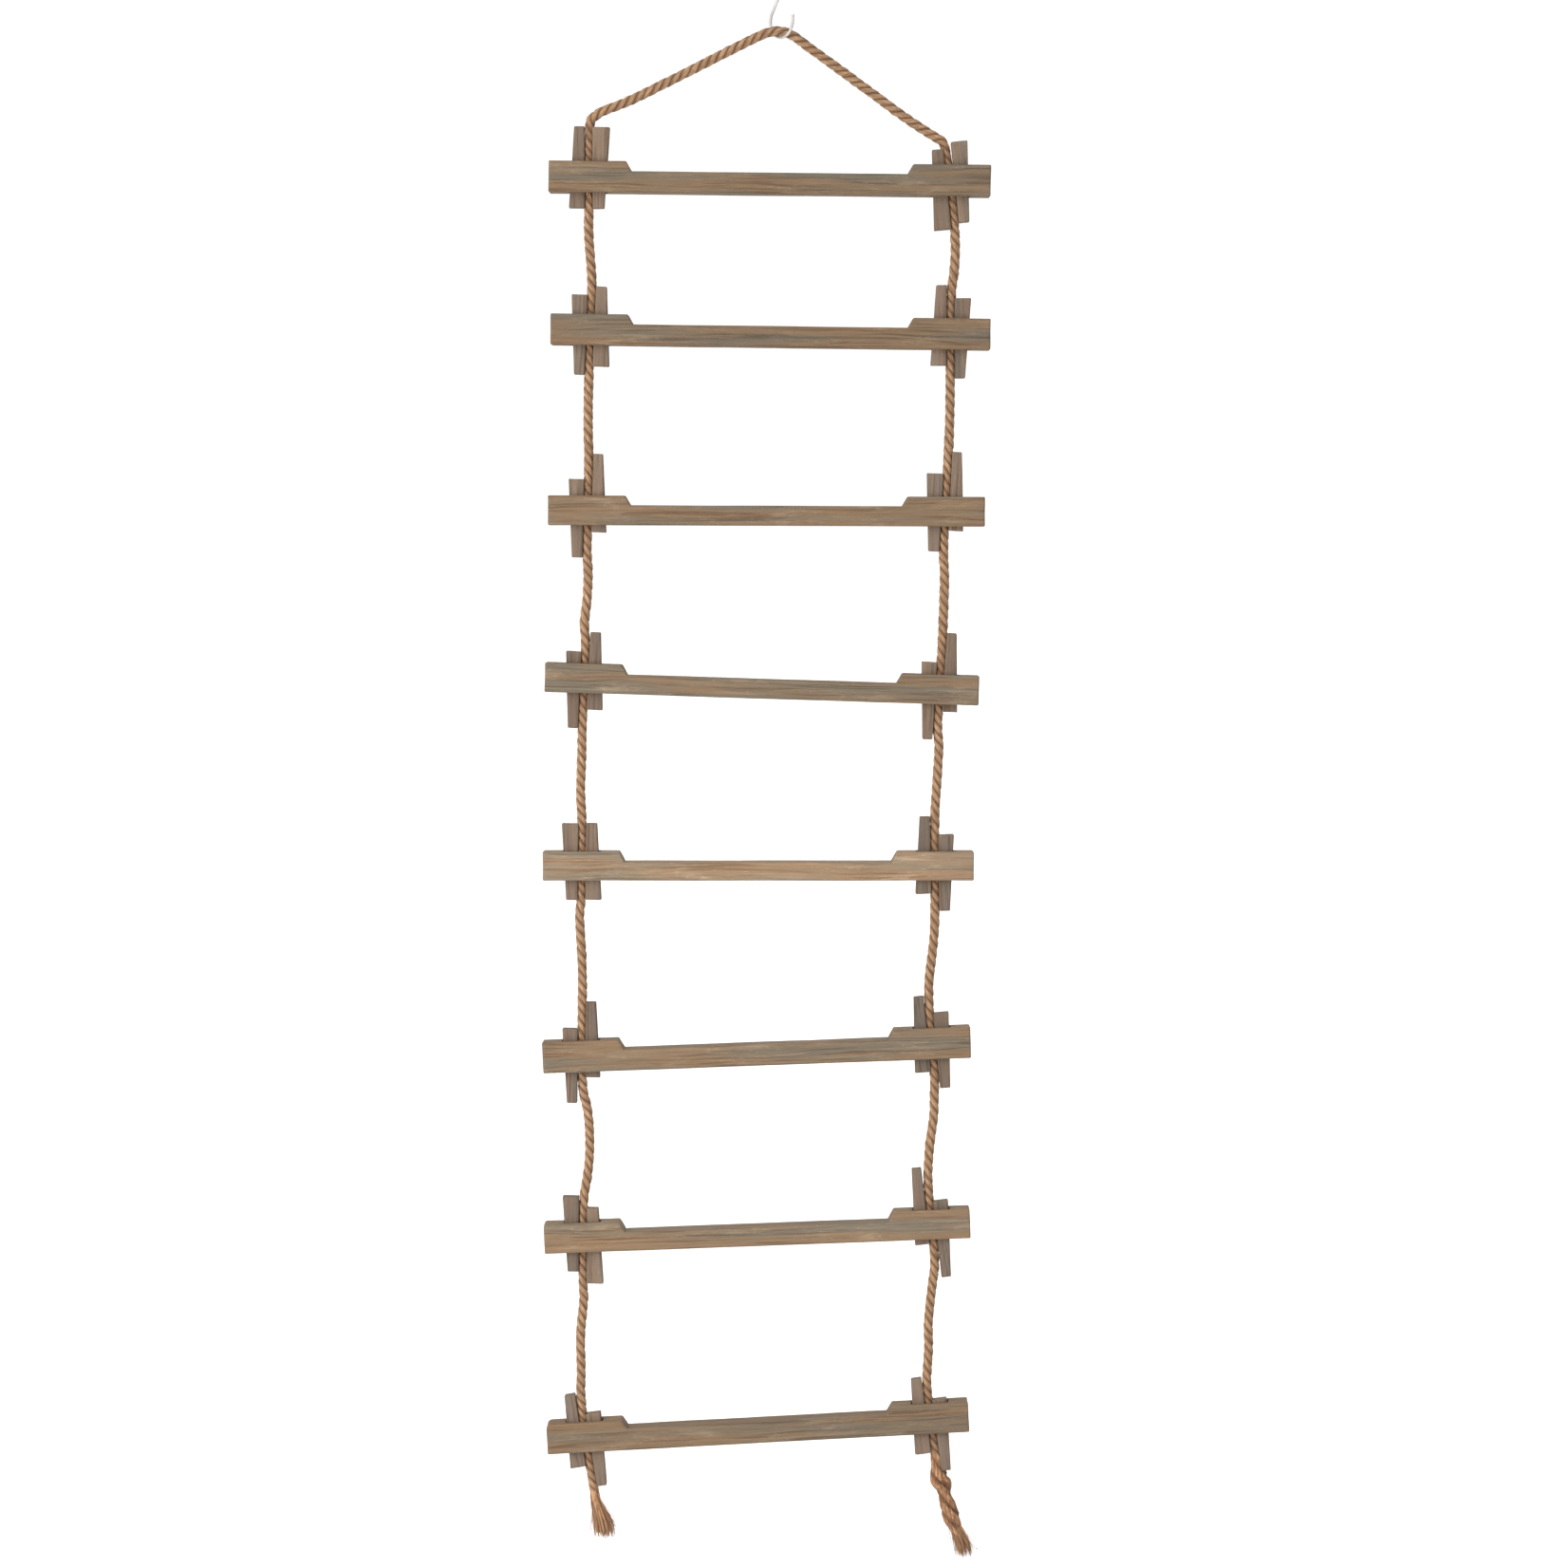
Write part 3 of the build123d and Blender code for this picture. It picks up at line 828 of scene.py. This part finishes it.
def timber(name, outline, depth, slots, edge, step, seed, grain_order, matrix, material, tone):
    """A worn wooden piece: an outline in its own XZ plane, thickened along Y and cut by slots."""
    solid = bmesh.new()
    front = [solid.verts.new((x, -depth / 2, z)) for x, z in outline]
    back = [solid.verts.new((x, depth / 2, z)) for x, z in outline]
    solid.faces.new(front)
    solid.faces.new(reversed(back))
    for i in range(len(outline)):
        j = (i + 1) % len(outline)
        solid.faces.new((front[j], front[i], back[i], back[j]))
    bmesh.ops.recalc_face_normals(solid, faces=solid.faces)
    facings = np.array([face.normal for face in solid.faces])
    blank = bpy.data.meshes.new(name)
    solid.to_mesh(blank)
    solid.free()
    draft = bpy.data.objects.new(name + "_draft", blank)
    bpy.context.scene.collection.objects.link(draft)
    bevel = draft.modifiers.new("edges", "BEVEL")
    bevel.width = edge
    bevel.segments = 2
    bevel.limit_method = "ANGLE"
    bevel.angle_limit = math.radians(35)
    cutters = []
    for x, width, slot_depth in slots:
        cutter = bpy.data.objects.new("cutter", box_mesh((width, slot_depth, 0.1), (x, 0, 0)))
        bpy.context.scene.collection.objects.link(cutter)
        cut = draft.modifiers.new("slot", "BOOLEAN")
        cut.operation = "DIFFERENCE"
        cut.object = cutter
        cutters.append(cutter)
    bpy.context.view_layer.update()
    evaluated = draft.evaluated_get(bpy.context.evaluated_depsgraph_get())
    mesh = bpy.data.meshes.new_from_object(evaluated)
    for scrap in [draft, *cutters]:
        bpy.data.objects.remove(scrap)
    solid = bmesh.new()
    solid.from_mesh(mesh)
    spans = np.array([v.co for v in solid.verts])
    low, high = spans.min(axis=0), spans.max(axis=0)
    for axis in sorted(range(3), key=lambda a: low[a] - high[a]):
        facing = np.eye(3)[axis]
        count = int((high[axis] - low[axis]) / step[axis])
        for place in np.linspace(low[axis], high[axis], count + 1)[1:-1]:
            parts = [*solid.verts, *solid.edges, *solid.faces]
            cut_at = facing * place
            bmesh.ops.bisect_plane(solid, geom=parts, plane_co=cut_at, plane_no=facing, dist=1e-5)
    solid.to_mesh(mesh)
    solid.free()
    wear(mesh, seed, grain_order, tone, facings)
    piece = new_piece(name, mesh, matrix)
    mesh.set_sharp_from_angle(angle=math.radians(50))
    mesh.materials.clear()
    mesh.materials.append(material)
    return piece


def wear(mesh, seed, grain_order, tone, facings):
    """Dents the edges, waves the faces a little, and gives the material its values."""
    rng = random.Random(seed)
    shift = Vector((rng.uniform(0, 40), rng.uniform(0, 40), rng.uniform(0, 40)))
    n = len(mesh.vertices)
    place = np.empty(n * 3, np.float32)
    mesh.vertices.foreach_get("co", place)
    normal = np.empty(n * 3, np.float32)
    mesh.vertices.foreach_get("normal", normal)
    place, normal = place.reshape(n, 3), normal.reshape(n, 3)
    edge = np.clip((1 - (normal @ facings.T).max(axis=1)) / 0.12, 0, 1)
    rates = np.zeros(3)
    rates[list(grain_order)] = (14, 70, 70)
    slow = np.array([noise.noise(Vector(p) + shift) for p in place * rates])
    rates[list(grain_order)] = (90, 200, 200)
    chips = np.array([noise.noise(Vector(p) - shift) for p in place * rates])
    inward = edge * (EDGE_WEAR + EDGE_CHIP * np.clip(chips - 0.15, 0, 1)) - FACE_WAVE * slow
    moved = place - normal * inward[:, None]
    mesh.vertices.foreach_set("co", moved.astype(np.float32).ravel())
    give(mesh, "grain", "FLOAT_VECTOR", place[:, list(grain_order)] + np.array(shift))
    # The edge mask, which the wood darkens as painted edge shade along with wear
    give(mesh, "worn", "FLOAT", edge)
    give(mesh, "tone", "FLOAT", np.full(n, tone))
    mesh.update()


def rung(number):
    """A rung: a slim bar with a full-height shoulder and an upright slot at each end."""
    x, z, tilt, length, height, bar = RUNGS[number]
    half, top = length / 2, height / 2
    outline = [
        (-half, -top),
        (half, -top),
        (half, top),
        (half - SHOULDER_LENGTH, top),
        (half - STEP_FOOT, bar - top),
        (STEP_FOOT - half, bar - top),
        (SHOULDER_LENGTH - half, top),
    ]
    corner = ROUND_CORNERS.get(number, 0)
    turns = (0, 30, 60, 90) if corner else (0,)
    for turn in map(math.radians, turns):
        outline.append((corner * (1 - math.sin(turn)) - half, top - corner * (1 - math.cos(turn))))
    slots = [(sign * MORTISE_SHARE * length, MORTISE_WIDTH, MORTISE_DEPTH) for sign in (-1, 1)]
    matrix = Matrix.Translation((x, 0, z)) @ Matrix.Rotation(math.radians(tilt), 4, "Y")
    piece = timber(
        f"worn_rung_{number}",
        outline,
        RUNG_DEPTH,
        slots,
        RUNG_EDGE,
        RUNG_STEP,
        number,
        ALONG_X,
        matrix,
        rung_wood,
        RUNG_TONES[number],
    )
    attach(piece, f"section_{number}")
    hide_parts(f"rung_{number}")


def wedge(number, side, hand):
    """One of the two opposed wedges in a slot.  Hand is left or right of the rope."""
    left_points, rope_lean, left_ends, right_ends = PACKS[number, side]
    sign = -1 if hand == "left" else 1
    low, high = left_ends if hand == "left" else right_ends
    widens_up = (left_points == "up") == (hand == "left")
    growth = math.tan(math.radians(WEDGE_TAPER)) * (1 if widens_up else -1)
    outer_low = WEDGE_DATUM + WEDGE_MIDDLE + low * growth
    outer_high = WEDGE_DATUM + WEDGE_MIDDLE + high * growth
    outline = [
        (sign * WEDGE_INNER, low),
        (sign * outer_low, low),
        (sign * outer_high, high),
        (sign * WEDGE_INNER, high),
    ]
    turn = Matrix.Rotation(math.radians(rope_lean), 4, "Y")
    matrix = Matrix.Translation(slot_centre(number, side)) @ turn
    node = f"wedge_{side}_{number}_{'outer' if hand == side else 'inner'}"
    tone = random.Random(f"tone {node}").uniform(*WEDGE_TONES)
    piece = timber(
        f"worn_{node}",
        outline,
        WEDGE_DEPTH,
        (),
        WEDGE_EDGE,
        WEDGE_STEP,
        node,
        ALONG_Z,
        matrix,
        wedge_wood,
        tone,
    )
    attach(piece, node)
    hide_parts(node)


for number in RUNGS:
    rung(number)
    for side in ("left", "right"):
        for hand in ("left", "right"):
            wedge(number, side, hand)

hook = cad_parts["s_hook"]
hook.data.materials.clear()
hook.data.materials.append(hook_metal)


# ---------------------------------------------------------------- floor and light

FLOOR_DROP = 0.10  # floor below the ladder's lowest point
FLOOR_REACH = 40
floor_mesh = bpy.data.meshes.new("floor")
corners = [(x * FLOOR_REACH, y * FLOOR_REACH, 0) for x, y in ((-1, -1), (1, -1), (1, 1), (-1, 1))]
floor_mesh.from_pydata(corners, [], [(0, 1, 2, 3)])
floor = bpy.data.objects.new("floor", floor_mesh)
floor.location = (0, 0, CAD_BOX[0][2] - FLOOR_DROP)
floor_shader = Shader("floor")
floor_shader.surface.inputs["Base Color"].default_value = (0.95, 0.95, 0.95, 1)
floor_shader.surface.inputs["Roughness"].default_value = 1.0
floor_shader.surface.inputs["Specular IOR Level"].default_value = 0.0
floor_mesh.materials.append(floor_shader.material)
bpy.context.scene.collection.objects.link(floor)


def softbox(name, at, look_at, size, watts):
    """A rectangular soft light."""
    data = bpy.data.lights.new(name, "AREA")
    data.shape = "RECTANGLE"
    data.size, data.size_y = size
    data.energy = watts
    light = bpy.data.objects.new(name, data)
    light.location = at
    light.rotation_euler = (Vector(look_at) - Vector(at)).to_track_quat("-Z", "Y").to_euler()
    bpy.context.scene.collection.objects.link(light)


def far_light(name, energy, source):
    """A broad light from far away in the direction of source."""
    data = bpy.data.lights.new(name, "SUN")
    data.energy = energy
    data.angle = math.radians(60)
    light = bpy.data.objects.new(name, data)
    light.rotation_euler = Vector(source).to_track_quat("Z", "Y").to_euler()
    bpy.context.scene.collection.objects.link(light)


softbox("key", (-1.4, -1.5, -0.75), (0, 0, -0.85), (1.2, 2.0), 34)
far_light("sun", 3.0, (-0.25, -0.55, 0.8))
far_light("back_fill", 1.0, (0.3, 1.0, 0.25))

# The room is seen white but lights the ladder less, so that its sides stay darker than its front
world = bpy.data.worlds.new("studio")
world.use_nodes = True
background = world.node_tree.nodes["Background"]
background.inputs["Color"].default_value = (1, 1, 1, 1)
seen = world.node_tree.nodes.new("ShaderNodeLightPath")
strength = world.node_tree.nodes.new("ShaderNodeMapRange")
strength.inputs["To Min"].default_value = 0.5
strength.inputs["To Max"].default_value = 1.05
world.node_tree.links.new(seen.outputs["Is Camera Ray"], strength.inputs["Value"])
world.node_tree.links.new(strength.outputs[0], background.inputs["Strength"])
bpy.context.scene.world = world
bpy.context.scene.view_settings.view_transform = "Standard"
